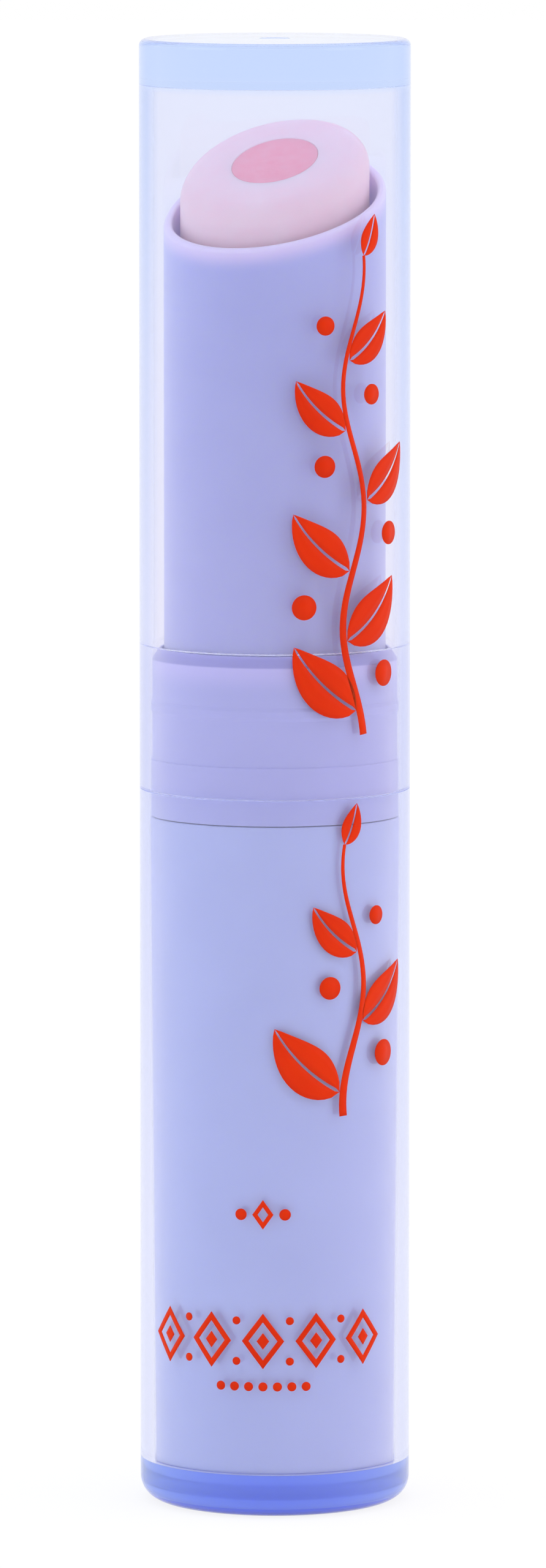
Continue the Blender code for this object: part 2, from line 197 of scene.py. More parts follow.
def paintedRimLightAndShade(tree, place, colour, rim):
    # Painted light and shade by depth under the rim, where light passes the wall or shade falls
    slope = math.tan(rim["angle"])
    down = (slope * math.cos(rim["heading"]), slope * math.sin(rim["heading"]), -1.0)
    along = addNode(tree, "ShaderNodeVectorMath", {0: place.outputs["Object"], 1: down},
                    {"operation": "DOT_PRODUCT"})
    depth = addNode(tree, "ShaderNodeMapRange", {
        "Value": along.outputs["Value"], "From Min": -rim["level"],
        "From Max": rim["reach"] - rim["level"]})
    tone = addNode(tree, "ShaderNodeValToRGB", {"Fac": depth.outputs[0]}, stops=rim["tones"])
    # Outside, the painted tones fade back to the dye; inside the bore the painted light stays all
    # the way down
    near = addNode(tree, "ShaderNodeMapRange", {
        "Value": depth.outputs[0], "From Min": rim["fadeShare"], "From Max": 1.0,
        "To Min": 1.0, "To Max": 0.0}, {"interpolation_type": "SMOOTHSTEP"})
    inside = addNode(tree, "ShaderNodeMath", {0: axisDistance(tree, place), 1: rim["bore"]},
                     {"operation": "LESS_THAN"})
    share = addNode(tree, "ShaderNodeMath", {0: near.outputs[0], 1: inside.outputs[0]},
                    {"operation": "MAXIMUM"})
    mixed = addNode(tree, "ShaderNodeMix", {
        "Factor": share.outputs[0], colourA: colour, colourB: tone.outputs[0]},
        {"data_type": "RGBA"})
    return mixed.outputs[mixedColour]


def milkyPolypropylene(name, look, rim=None):
    # Milky lavender polypropylene, moulded in a fine-blasted tool: satin, slightly see-through
    # at thin edges, with a faint cloudiness in its dye and a pale bloom where it turns away
    material, tree = newMaterial(name)
    place = addNode(tree, "ShaderNodeTexCoord")
    _, colour = patchyDye(tree, place.outputs["Object"], look)
    # A rim lays painted light and shade over the dye
    if rim:
        colour = paintedRimLightAndShade(tree, place, colour, rim)
    # The blasted grain is about 0.08 mm; it is drawn at grainWidth so that it shows
    grain = addNode(tree, "ShaderNodeTexNoise", {
        "Vector": place.outputs["Object"], "Scale": 1 / (look["grainWidth"] * mm),
        "Detail": look["grainDetail"]})
    rough = addNode(tree, "ShaderNodeMapRange", {
        "Value": grain.outputs[0], "To Min": look["roughLow"], "To Max": look["roughHigh"]})
    bump = addNode(tree, "ShaderNodeBump", {
        "Height": grain.outputs[0], "Strength": look["grainStrength"],
        "Distance": look["grainDepth"] * mm})
    shader = addNode(tree, "ShaderNodeBsdfPrincipled", {
        "Base Color": colour, "Roughness": rough.outputs[0], "IOR": look["ior"],
        "Normal": bump.outputs[0], "Subsurface Weight": look["glow"],
        "Subsurface Radius": look["glowSpread"], "Subsurface Scale": look["glowReach"] * mm,
        "Sheen Weight": look["bloom"], "Sheen Roughness": look["bloomSpread"],
        "Sheen Tint": hexColour(look["bloomColour"])})
    addNode(tree, "ShaderNodeOutputMaterial", {"Surface": shader.outputs[0]})
    return material


def castWax(name, look):
    # Lip wax cast in a polished mould: soft satin, light sinks in about a millimetre,
    # and the pigment is very slightly mottled
    material, tree = newMaterial(name)
    place = addNode(tree, "ShaderNodeTexCoord")
    _, colour = patchyDye(tree, place.outputs["Object"], look)
    skin = addNode(tree, "ShaderNodeTexNoise", {
        "Vector": place.outputs["Object"], "Scale": 1 / (look["skinWidth"] * mm),
        "Detail": look["skinDetail"]})
    bump = addNode(tree, "ShaderNodeBump", {
        "Height": skin.outputs[0], "Strength": look["skinStrength"],
        "Distance": look["skinDepth"] * mm})
    rough = addNode(tree, "ShaderNodeMapRange", {
        "Value": skin.outputs[0], "To Min": look["roughLow"], "To Max": look["roughHigh"]})
    shader = addNode(tree, "ShaderNodeBsdfPrincipled", {
        "Base Color": colour, "Roughness": rough.outputs[0], "IOR": look["ior"],
        "Normal": bump.outputs[0], "Subsurface Weight": look["glow"],
        "Subsurface Radius": look["glowSpread"], "Subsurface Scale": look["glowReach"] * mm})
    addNode(tree, "ShaderNodeOutputMaterial", {"Surface": shader.outputs[0]})
    return material


def screenInk(name, look):
    # Orange-red screen ink, cured under lamps: dense and smooth, its thickness faintly uneven
    material, tree = newMaterial(name)
    place = addNode(tree, "ShaderNodeTexCoord")
    _, colour = patchyDye(tree, place.outputs["Object"], look)
    shader = addNode(tree, "ShaderNodeBsdfPrincipled", {
        "Base Color": colour, "Roughness": look["rough"], "IOR": look["ior"],
        "Specular IOR Level": look["gloss"], "Subsurface Weight": look["glow"],
        "Subsurface Radius": look["glowSpread"], "Subsurface Scale": look["glowReach"] * mm})
    addNode(tree, "ShaderNodeOutputMaterial", {"Surface": shader.outputs[0]})
    return material


def naturalAcetal(name, look):
    # Natural white acetal, injection moulded: slick and slightly waxy, with faint flow streaks
    material, tree = newMaterial(name)
    place = addNode(tree, "ShaderNodeTexCoord")
    stretched = addNode(tree, "ShaderNodeMapping", {
        "Vector": place.outputs["Object"], "Scale": (1.0, 1.0, look["streakShare"])})
    streaks, colour = patchyDye(tree, stretched.outputs[0], look)
    rough = addNode(tree, "ShaderNodeMapRange", {
        "Value": streaks, "To Min": look["roughLow"], "To Max": look["roughHigh"]})
    shader = addNode(tree, "ShaderNodeBsdfPrincipled", {
        "Base Color": colour, "Roughness": rough.outputs[0], "IOR": look["ior"]})
    addNode(tree, "ShaderNodeOutputMaterial", {"Surface": shader.outputs[0]})
    return material


def mouldedSilicone(name, look):
    # Translucent silicone rubber, press moulded: dull, milky, light passes its thin ring
    material, tree = newMaterial(name)
    place = addNode(tree, "ShaderNodeTexCoord")
    _, colour = patchyDye(tree, place.outputs["Object"], look)
    shader = addNode(tree, "ShaderNodeBsdfPrincipled", {
        "Base Color": colour, "Roughness": look["rough"], "IOR": look["ior"],
        "Subsurface Weight": look["glow"], "Subsurface Radius": look["glowSpread"],
        "Subsurface Scale": look["glowReach"] * mm})
    addNode(tree, "ShaderNodeOutputMaterial", {"Surface": shader.outputs[0]})
    return material


# Shapes

def roundedProfile(corners):
    # Corners are (radius, level) or (radius, level, fillet); a fillet becomes an arc
    points = []
    for index, corner in enumerate(corners):
        here = Vector(corner[:2])
        fillet = corner[2] if len(corner) > 2 else 0.0
        if not fillet:
            points.append(here)
            continue
        before = Vector(corners[index - 1][:2]) - here
        after = Vector(corners[(index + 1) % len(corners)][:2]) - here
        half = before.angle(after) / 2
        reach = fillet / math.tan(half)
        first = here + before.normalized() * reach
        last = here + after.normalized() * reach
        inward = (before.normalized() + after.normalized()).normalized()
        centre = here + inward * fillet / math.sin(half)
        sweep = (first - centre).angle_signed(last - centre)
        for step in range(roundness["filletSteps"] + 1):
            turn = Matrix.Rotation(-sweep * step / roundness["filletSteps"], 2)
            points.append(centre + turn @ (first - centre))
    return points


def addPiece(name, shape, material):
    mesh = bpy.data.meshes.new(name)
    shape.to_mesh(mesh)
    shape.free()
    mesh.materials.append(material)
    mesh.shade_smooth()
    mesh.set_sharp_from_angle(angle=roundness["sharpAngle"])
    piece = bpy.data.objects.new(name, mesh)
    bpy.context.scene.collection.objects.link(piece)
    return piece


def turnedShape(corners, closed=False, slantAbove=None, slant=None):
    # A profile turned once round Z; the points above a level follow the slant
    shape = bmesh.new()
    points = [shape.verts.new((p.x, 0.0, p.y)) for p in roundedProfile(corners)]
    edges = [shape.edges.new(pair) for pair in zip(points, points[1:])]
    if closed:
        edges.append(shape.edges.new((points[-1], points[0])))
    bmesh.ops.spin(shape, geom=points + edges, axis=(0, 0, 1), cent=(0, 0, 0),
                   angle=2 * math.pi, steps=roundness["turnSteps"], use_merge=True)
    bmesh.ops.remove_doubles(shape, verts=shape.verts, dist=roundness["weld"])
    bmesh.ops.recalc_face_normals(shape, faces=shape.faces)
    if slant:
        for vertex in shape.verts:
            if vertex.co.z > slantAbove:
                uphill = (vertex.co.x * math.cos(slant["heading"])
                          + vertex.co.y * math.sin(slant["heading"]))
                vertex.co.z += uphill * math.tan(slant["angle"])
    return shape


def flatNormals(piece):
    # Large flat faces keep their own direction beside small fillets
    evened = piece.modifiers.new("evenNormals", "WEIGHTED_NORMAL")
    evened.keep_sharp = True


# Clear cap

# The clear pieces are one styrene. Tints are given at shares of the lipstick's whole height
styrene = {
    "ior": 1.57, "clearness": 1.0, "depthColour": "#00A8FF", "depthPerMm": 0.008,
    "edgeFrom": 0.48, "edgeTo": 0.66, "clearTurns": 3.5, "cloudiness": 0.5,
    "polish": 0.015, "haze": 0.05, "hazeWidth": 9.0, "hazeDetail": 4.0,
}
cap = {
    "mouthWall": 0.62 * mm, "step": 0.2 * mm, "stepRise": 0.07 * mm, "top": 2.67 * mm,
    "stepAboveCollar": 0.14 * mm, "edgeRadius": 0.42 * mm, "cornerRadius": 0.06 * mm,
    "rimRadius": 0.03 * mm, "rimDrop": 0.14 * mm,  # down to a hair's width from the base's rim
    "gateRadius": 0.9 * mm, "gateDepth": 0.03 * mm,  # the moulding's gate mark, mid top
    "look": styrene | {
        # The solid top, above the ceiling, is the bluest
        "faceTints": [(0.6, "#EDEBFA"), (0.9675, "#E4E8FB"), (0.969, "#D0DFFE")],
        "edgeTints": [(0.58, "#B2BDF4"), (0.6, "#C4CFFA"), (0.9675, "#A6BFF7"),
                      (0.969, "#BFD3FC")],
        "tintAbove": highCap.z - tintDepth},
}


def makeCap():
    ceiling = highCap.z - cap["top"]
    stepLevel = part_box("collar")[1].z + cap["stepAboveCollar"]
    mouthBore = caseRadius - cap["mouthWall"]
    bore = mouthBore - cap["step"]
    shape = turnedShape([
        (0.0, highCap.z - cap["gateDepth"]),
        (cap["gateRadius"], highCap.z - cap["gateDepth"]),
        (cap["gateRadius"] + cap["gateDepth"], highCap.z),
        (caseRadius, highCap.z, cap["edgeRadius"]),
        (caseRadius, lowCap.z - cap["rimDrop"], cap["rimRadius"]),
        (mouthBore, lowCap.z - cap["rimDrop"], cap["rimRadius"]),
        (mouthBore, stepLevel),
        (bore, stepLevel + cap["stepRise"]),
        (bore, ceiling, cap["cornerRadius"]),
        (0.0, ceiling)])
    piece = addPiece("clear_cap", shape, clearStyrene("clearCapStyrene", cap["look"]))
    flatNormals(piece)
    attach(piece, "cap")
    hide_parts("cap")


# Clear base: the wall, and the tinted foot under it

base = {
    "floor": 2.6 * mm, "joint": 0.004 * mm,  # the foot's height, and the line over it
    "rimRadius": 0.03 * mm, "rimRise": 0.14 * mm, "edgeRadius": 1.4 * mm, "linerGap": 0.1 * mm,
    "recessRim": 2.2 * mm, "recessDepth": 0.04 * mm, "recessRun": 1.5 * mm,
    "wallLook": styrene | {
        "faceTints": [(0.0, "#EAEAF9"), (0.5, "#EAEAF9")],
        "edgeTints": [(0.2, "#D8DEFD"), (0.45, "#C0CAFA")],
        "tintAbove": highCap.z},  # so that only its skin is tinted
    "footLook": styrene | {
        # Half milky, tinted all through, and deepest at the rounded lower edge
        "clearness": 0.5, "edgeFrom": 0.0, "edgeTo": 0.75,
        "faceTints": [(0.0, "#5F78FF"), (0.018, "#7A93FF")],
        "edgeTints": [(0.0, "#8CA6FF"), (0.018, "#AEC6FF")],
        "tintAbove": lowCase.z - tintDepth},
}


def makeBaseWall():
    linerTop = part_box("base_liner")[1]
    lowBore = linerTop.x - liner["step"] + base["linerGap"]
    topBore = linerTop.x + base["linerGap"]
    foot = lowCase.z + base["floor"] + base["joint"]
    shape = turnedShape([
        (topBore, linerTop.z),
        (topBore, highCase.z + base["rimRise"], base["rimRadius"]),
        (caseRadius, highCase.z + base["rimRise"], base["rimRadius"]),
        (caseRadius, foot),
        (lowBore, foot)], closed=True)
    piece = addPiece("clear_base", shape, clearStyrene("clearBaseStyrene", base["wallLook"]))
    flatNormals(piece)
    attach(piece, "base")
    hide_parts("base_shell")


def makeBaseFoot():
    recess = caseRadius - base["recessRim"]
    shape = turnedShape([
        (0.0, lowCase.z + base["floor"]),
        (caseRadius, lowCase.z + base["floor"]),
        (caseRadius, lowCase.z, base["edgeRadius"]),
        (recess, lowCase.z, base["recessRun"]),
        (recess - base["recessRun"], lowCase.z + base["recessDepth"], base["recessRun"]),
        (0.0, lowCase.z + base["recessDepth"])])
    piece = addPiece("clear_foot", shape, clearStyrene("blueFootStyrene", base["footLook"]))
    flatNormals(piece)
    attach(piece, "base")
    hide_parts("base_shell")


# Lavender works

lavender = softPatches | {
    "pale": "#BBBDE7", "deep": "#B6B8E3", "patchWidth": 6.0, "ior": 1.49,
    "grainWidth": 0.16, "grainDetail": 2.0, "grainStrength": 0.15, "grainDepth": 0.02,
    "roughLow": 0.30, "roughHigh": 0.42,
    "glow": 0.3, "glowReach": 0.4, "glowSpread": (1.0, 0.9, 1.2),
    "bloom": 0.6, "bloomSpread": 0.5, "bloomColour": "#F0F0FF",
}
linerLavender = lavender | {"pale": "#C0C8EC", "deep": "#BBC3E8"}
# The tube's wall is thin enough for light to come through into its mouth
tubeLavender = lavender | {"pale": "#BDBFEC", "deep": "#B8BAE8", "glow": 1.0, "glowReach": 0.9}
liner = {
    "wall": 0.67 * mm, "step": 0.3 * mm, "stepDrop": 4.75 * mm,
    "topGap": 0.05 * mm, "rimRadius": 0.12 * mm, "footGap": 0.005 * mm,
}
tube = {
    "wall": 0.5 * mm, "rimRadius": 0.2 * mm,
    # Painted light: a pale pinkish rim at the mouth and a pale bore, not the tube's own dye
    "paintedRimTones": [(0.0, "#E6D6F8"), (1.0, "#E0D4F8")], "rimReach": 1.3 * mm, "fadeShare": 0.12,
}
collar = {
    "wall": 0.55 * mm, "edgeRadius": 0.12 * mm, "footRadius": 0.05 * mm,
    "skirt": 1.4 * mm, "skirtGap": 0.15 * mm,  # the part that stands inside the base
    "land": 2.0 * mm, "landRadius": 0.04 * mm,  # the full-width ring over the skirt
    "shoulderHeight": 0.6 * mm, "shoulderWidth": 0.42 * mm,
    "bead": 0.08 * mm, "beadLevel": 5.12 * mm, "beadWidth": 0.8 * mm, "beadRadius": 0.1 * mm,
    # Painted shade: the solid shoulder deepest, under the cap's step; painted light: the thin wall
    # under it palest
    "paintedRimTones": [(0.0, "#A9A6DC"), (0.27, "#A3A0D6"), (0.31, "#CDC8F0"), (1.0, "#CDC8F0")],
    "rimReach": 2.2 * mm, "fadeShare": 0.33,
}


def makeLiner(material):
    # The step inside, where it clears the tube, shows outside as a soft shoulder
    low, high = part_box("base_liner")
    shoulder = high.z - liner["stepDrop"]
    lowRadius = high.x - liner["step"]
    # The rim reaches up to the collar's skirt and the floor down to the clear foot
    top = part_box("collar")[0].z - liner["topGap"]
    bottom = lowCase.z + base["floor"] + liner["footGap"]
    shape = turnedShape([
        (high.x - liner["wall"], top, liner["rimRadius"]),
        (high.x, top, liner["rimRadius"]),
        (lowRadius, bottom),
        (0.0, bottom),
        (0.0, low.z + liner["wall"]),
        (lowRadius - liner["wall"], low.z + liner["wall"]),
        (lowRadius - liner["wall"], shoulder),
        (high.x - liner["wall"], shoulder + liner["step"])], closed=True)
    piece = addPiece("lavender_liner", shape, material)
    flatNormals(piece)
    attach(piece, "base")
    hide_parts("base_liner")


def makeTube():
    low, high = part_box("guide_tube")
    mouth = high.z - high.x * math.tan(mouthSlant["angle"])
    # The tube's material carries painted light at its mouth and down its bore
    material = milkyPolypropylene("milkyTubePolypropylene", tubeLavender, mouthSlant | {
        "level": mouth, "reach": tube["rimReach"], "bore": high.x - tube["wall"] / 2,
        "tones": tube["paintedRimTones"], "fadeShare": tube["fadeShare"]})
    shape = turnedShape([
        (high.x, mouth, tube["rimRadius"]),
        (high.x, low.z),
        (high.x - tube["wall"], low.z),
        (high.x - tube["wall"], mouth, tube["rimRadius"])],
        closed=True, slantAbove=(mouth + low.z) / 2, slant=mouthSlant)
    piece = addPiece("lavender_tube", shape, material)
    flatNormals(piece)
    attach(piece, "tube")
    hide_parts("guide_tube")


def makeCollar():
    low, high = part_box("collar")
    # The collar's material carries painted shade on its shoulder and painted light below it
    material = milkyPolypropylene("milkyCollarPolypropylene", lavender, {
        "angle": 0.0, "heading": 0.0, "level": high.z, "reach": collar["rimReach"], "bore": 0.0,
        "tones": collar["paintedRimTones"], "fadeShare": collar["fadeShare"]})
    foot = low.z + collar["skirt"]
    outer = high.x
    body = outer - collar["bead"]
    bore = body - collar["wall"]
    bead = foot + collar["beadLevel"]
    rise = collar["beadWidth"] / 2
    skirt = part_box("base_liner")[1].x + base["linerGap"] - collar["skirtGap"]
    shape = turnedShape([
        (body - collar["shoulderWidth"], high.z),
        (body, high.z - collar["shoulderHeight"], collar["edgeRadius"]),
        (body, bead + rise, collar["beadRadius"]),
        (outer, bead + rise / 2, collar["beadRadius"]),
        (outer, bead - rise / 2, collar["beadRadius"]),
        (body, bead - rise, collar["beadRadius"]),
        (body, foot + collar["land"], collar["landRadius"]),
        (outer, foot + collar["land"], collar["landRadius"]),
        (outer, foot),
        (skirt, foot),
        (skirt, low.z, collar["footRadius"]),
        (bore, low.z),
        (bore, high.z)], closed=True)
    piece = addPiece("lavender_collar", shape, material)
    flatNormals(piece)
    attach(piece, "tube")
    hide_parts("collar")


# Bullet: pale wax round a deeper core

wax = {
    "deepAt": 0.35, "paleAt": 0.65, "patchDetail": 5.0, "skinDetail": 6.0,
    "ior": 1.45, "glowSpread": (1.0, 0.6, 0.7),
}
bullet = {
    "edgeRadius": 1.2 * mm, "coreRadius": 2.52 * mm, "coreGap": 0.01 * mm, "coreSink": 0.01 * mm,
    "lipRadius": 0.04 * mm, "footStep": 0.35 * mm, "footHeight": 8.0 * mm,
    "shellLook": wax | {
        "pale": "#FFDBDC", "deep": "#FFD5D8", "patchWidth": 2.2, "skinWidth": 0.9,
        "skinStrength": 0.25, "skinDepth": 0.03, "roughLow": 0.38, "roughHigh": 0.52,
        "glow": 0.4, "glowReach": 1.2},
    "coreLook": wax | {
        "pale": "#FFAAB5", "deep": "#FFA0AE", "patchWidth": 0.8, "skinWidth": 0.5,
        "skinStrength": 0.5, "skinDepth": 0.05, "roughLow": 0.42, "roughHigh": 0.6,
        "glow": 0.25, "glowReach": 0.7},
}


def makeBullet():
    low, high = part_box("bullet_shell")
    # The face's level on the axis, from its low side, which the core's box gives
    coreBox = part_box("bullet_core")
    face = coreBox[1].z - coreBox[1].x * math.tan(faceSlant["angle"])
    footTop = low.z + bullet["footHeight"]
    halfway = (face + footTop) / 2
    shell = turnedShape([
        (high.x, face, bullet["edgeRadius"]),
        (high.x, footTop),
        (high.x - bullet["footStep"], footTop),
        (high.x - bullet["footStep"], low.z),
        (bullet["coreRadius"] + bullet["coreGap"], low.z),
        (bullet["coreRadius"] + bullet["coreGap"], face, bullet["lipRadius"])],
        closed=True, slantAbove=halfway, slant=faceSlant)
    piece = addPiece("bullet_wax", shell, castWax("paleLipWax", bullet["shellLook"]))
    flatNormals(piece)
    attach(piece, "bullet")
    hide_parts("bullet_shell")
    core = turnedShape([
        (0.0, face - bullet["coreSink"]),
        (bullet["coreRadius"], face - bullet["coreSink"], bullet["lipRadius"]),
        (bullet["coreRadius"], low.z),
        (0.0, low.z)], slantAbove=halfway, slant=faceSlant)
    piece = addPiece("bullet_core_wax", core, castWax("pinkLipWax", bullet["coreLook"]))
    flatNormals(piece)
    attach(piece, "bullet")
    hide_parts("bullet_core")


# The works inside keep the frame's own shapes

works = {
    "acetal": softPatches | {
        "pale": "#F1F0EE", "deep": "#E8E7E6", "patchWidth": 1.5, "streakShare": 0.15,
        "roughLow": 0.32, "roughHigh": 0.45, "ior": 1.48},
    "silicone": softPatches | {
        "pale": "#E2E5EC", "deep": "#D6DAE4", "patchWidth": 1.2, "rough": 0.55, "ior": 1.41,
        "glow": 0.5, "glowReach": 0.8, "glowSpread": (1.0, 1.0, 1.0)},
}


def finishWorks():
    acetal = naturalAcetal("naturalAcetal", works["acetal"])
    silicone = mouldedSilicone("mouldedSilicone", works["silicone"])
    for node, material in {"spiral_sleeve": acetal, "slotted_fork": acetal, "carrier": acetal,
                           "friction_ring": silicone}.items():
        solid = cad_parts[node]
        solid.data.materials.clear()
        solid.data.materials.append(material)


# Print: a climbing sprig of split leaves, and low on the base a frieze and small marks

sprig = {
    "centre": 4.9 * mm, "sway": 0.75 * mm, "swayLength": 14.0 * mm, "grid": 0.35 * mm,
    "stemWidth": 0.5 * mm, "tipWidth": 0.2 * mm,
    "capFoot": 46.2 * mm, "capTip": 74.2 * mm, "baseFoot": 23.8 * mm, "baseTip": 39.8 * mm,
    # Leaves: the first one's place in its spacing, and how much smaller the last one is
    "leafSpacing": 4.1 * mm, "leafStart": 0.35, "leafShrink": 0.28,
    "leafLength": 5.6 * mm, "leafWidth": 2.9 * mm, "leafSteps": 18, "halfSteps": 3,
    "leafLean": math.radians(62), "leafCurl": math.radians(34),
    "bellyPlace": 0.8, "bellyRoundness": 0.85, "veinGap": 0.2 * mm, "veinTaper": 0.5,
    "tipLean": 0.35, "tipSize": 0.62,
    "berryRadius": 0.78 * mm, "berryReach": 2.7 * mm,
}
smallPrint = {
    "centre": -0.7 * mm, "sideSteps": 6,
    "markLevel": 18.1 * mm, "markSize": (1.25 * mm, 1.75 * mm), "markHollow": 0.5,
    "markDot": 0.34 * mm, "markSpacing": 1.3 * mm,
    "friezeLevel": 10.6 * mm, "friezeSize": (2.5 * mm, 3.3 * mm), "friezeHollow": 0.68,
    "friezeSeed": 0.3, "friezeSpacing": 3.16 * mm, "friezeCount": 5,
    "friezeDot": 0.24 * mm, "friezeDotLevel": 1.2 * mm,
    "lowerLevel": 7.9 * mm, "lowerRadius": 0.27 * mm, "lowerSpacing": 0.85 * mm, "lowerCount": 7,
}
inkLook = softPatches | {
    "pale": "#E43500", "deep": "#DA2E00", "patchWidth": 4.0, "rough": 0.42, "gloss": 0.1,
    "ior": 1.5, "glow": 0.6, "glowReach": 0.03, "glowSpread": (1.0, 0.3, 0.1),
}


def onCase(around, level):
    # A point of the flat design, wrapped round the case: around is measured from the front
    radius = caseRadius + ink["lift"]
    return Vector((radius * math.sin(around / radius), -radius * math.cos(around / radius), level))


def addGrid(shape, rows):
    # Rows of flat points become a sheet on the case
    grid = [[shape.verts.new(onCase(*point)) for point in row] for row in rows]
    for near, far in zip(grid, grid[1:]):
        for i in range(len(near) - 1):
            shape.faces.new((near[i], near[i + 1], far[i + 1], far[i]))


def addRibbon(shape, points, widths):
    # A strip along the points, as wide at each as its width says
    rows = []
    for index, (point, width) in enumerate(zip(points, widths)):
        ahead = points[min(index + 1, len(points) - 1)]
        behind = points[max(index - 1, 0)]
        side = Vector((ahead[1] - behind[1], behind[0] - ahead[0])).normalized() * width / 2
        rows.append([(point[0] - side.x, point[1] - side.y), tuple(point),
                     (point[0] + side.x, point[1] + side.y)])
    addGrid(shape, rows)


def addDot(shape, around, level, radius):
    steps = roundness["dotSteps"]
    rim = [(around + radius * math.cos(2 * math.pi * i / steps),
            level + radius * math.sin(2 * math.pi * i / steps)) for i in range(steps)]
    centre = shape.verts.new(onCase(around, level))
    ring = [shape.verts.new(onCase(*point)) for point in rim]
    for i in range(steps):
        shape.faces.new((centre, ring[i], ring[(i + 1) % steps]))


def stemPoint(level):
    # The stem sways from side to side as it climbs
    turn = 2 * math.pi * level / sprig["swayLength"]
    return Vector((sprig["centre"] + sprig["sway"] * math.sin(turn), level))


def addLeaf(shape, root, side, size):
    # Two halves with an unprinted vein between them; the leaf curls up along its length
    steps, halfSteps = sprig["leafSteps"], sprig["halfSteps"]
    length, width = sprig["leafLength"] * size, sprig["leafWidth"] * size
    spine, here = [], Vector(root)
    for i in range(steps + 1):
        lean = sprig["leafLean"] - sprig["leafCurl"] * i / steps
        direction = Vector((side * math.sin(lean), math.cos(lean)))
        spine.append((here.copy(), Vector((direction.y, -direction.x))))
        here += direction * length / steps
    for half in (-1, 1):
        rows = []
        for i, (point, across) in enumerate(spine):
            share = i / steps
            swell = math.sin(math.pi * share ** sprig["bellyPlace"]) ** sprig["bellyRoundness"]
            belly = swell * width / 2
            gap = min(sprig["veinGap"] / 2 * (1 - sprig["veinTaper"] * share), belly)
            rows.append([tuple(point + across * half * (gap + (belly - gap) * j / halfSteps))
                         for j in range(halfSteps + 1)])
        addGrid(shape, rows)


def printedPiece(name, shape, material, body):
    bmesh.ops.remove_doubles(shape, verts=shape.verts, dist=roundness["weld"])
    bmesh.ops.recalc_face_normals(shape, faces=shape.faces)
    # The film grows outward, so every face looks away from the axis
    for face in shape.faces:
        if face.normal.dot(face.calc_center_median() * Vector((1, 1, 0))) < 0:
            face.normal_flip()
    piece = addPiece(name, shape, material)
    film = piece.modifiers.new("film", "SOLIDIFY")
    film.thickness = ink["thickness"]
    film.offset = 1.0
    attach(piece, body)


def makeSprig(name, foot, tip, material, body):
    # Leaves to either side in turn, a berry across from each, and one leaf at the tip
    shape = bmesh.new()
    count = math.ceil((tip - foot) / sprig["grid"])
    levels = [foot + (tip - foot) * i / count for i in range(count + 1)]
    widths = [sprig["stemWidth"] + (sprig["tipWidth"] - sprig["stemWidth"]) * i / count
              for i in range(count + 1)]
    addRibbon(shape, [stemPoint(level) for level in levels], widths)
    leaves = int((tip - foot) / sprig["leafSpacing"])
    for index in range(leaves):
        level = foot + sprig["leafSpacing"] * (index + sprig["leafStart"])
        side = 1 if index % 2 else -1
        size = 1.0 - sprig["leafShrink"] * index / max(leaves - 1, 1)
        root = stemPoint(level) + Vector((side * sprig["stemWidth"] / 2, 0.0))
        addLeaf(shape, root, side, size)
        berry = stemPoint(level + sprig["leafSpacing"] / 2)
        addDot(shape, berry.x - side * sprig["berryReach"] * size, berry.y,
               sprig["berryRadius"] * size)
    addLeaf(shape, stemPoint(tip), sprig["tipLean"], sprig["tipSize"])
    printedPiece(name, shape, material, body)


def addLozenge(shape, around, level, size, hollow=0.0):
    # An upright lozenge, open in the middle by the hollow's share
    corners = [(-0.5, 0.0), (0.0, 0.5), (0.5, 0.0), (0.0, -0.5), (-0.5, 0.0)]
    steps = smallPrint["sideSteps"]
    loop = [Vector(corners[0])]
    for here, ahead in zip(corners, corners[1:]):
        loop += [Vector(here).lerp(Vector(ahead), (i + 1) / steps) for i in range(steps)]
    addGrid(shape, [[(around + p.x * size[0] * share, level + p.y * size[1] * share) for p in loop]
                    for share in (1.0, (1.0 + hollow) / 2, hollow)])


def rowPlaces(count, spacing):
    # Evenly spaced places of a row's marks, round the small print's middle
    return [smallPrint["centre"] + (index - (count - 1) / 2) * spacing for index in range(count)]


def makeSmallPrint(material):
    # A lozenge between two dots
    shape = bmesh.new()
    left, middle, right = rowPlaces(3, smallPrint["markSpacing"])
    addLozenge(shape, middle, smallPrint["markLevel"], smallPrint["markSize"],
               smallPrint["markHollow"])
    for around in (left, right):
        addDot(shape, around, smallPrint["markLevel"], smallPrint["markDot"])
    # A frieze of open lozenges, each with a seed in it, and dots in the notches between
    level, (width, height) = smallPrint["friezeLevel"], smallPrint["friezeSize"]
    seed = (width * smallPrint["friezeSeed"], height * smallPrint["friezeSeed"])
    for around in rowPlaces(smallPrint["friezeCount"], smallPrint["friezeSpacing"]):
        addLozenge(shape, around, level, (width, height), smallPrint["friezeHollow"])
        addLozenge(shape, around, level, seed)
    for around in rowPlaces(smallPrint["friezeCount"] - 1, smallPrint["friezeSpacing"]):
        for side in (-1, 1):
            addDot(shape, around, level + side * smallPrint["friezeDotLevel"],
                   smallPrint["friezeDot"])
    # A row of dots under it
    for around in rowPlaces(smallPrint["lowerCount"], smallPrint["lowerSpacing"]):
        addDot(shape, around, smallPrint["lowerLevel"], smallPrint["lowerRadius"])
    printedPiece("small_print", shape, material, "base")


makeLiner(milkyPolypropylene("milkyLinerPolypropylene", linerLavender))
makeTube()
makeCollar()
print("lavender works made")
makeBullet()
finishWorks()
print("bullet and works finished")
makeCap()
makeBaseWall()
makeBaseFoot()
print("clear case made")
orangeInk = screenInk("curedOrangeInk", inkLook)
makeSprig("sprig_on_cap", sprig["capFoot"], sprig["capTip"], orangeInk, "cap")
makeSprig("sprig_on_base", sprig["baseFoot"], sprig["baseTip"], orangeInk, "base")
makeSmallPrint(orangeInk)
print("print laid on the case")


# Floor, light and camera

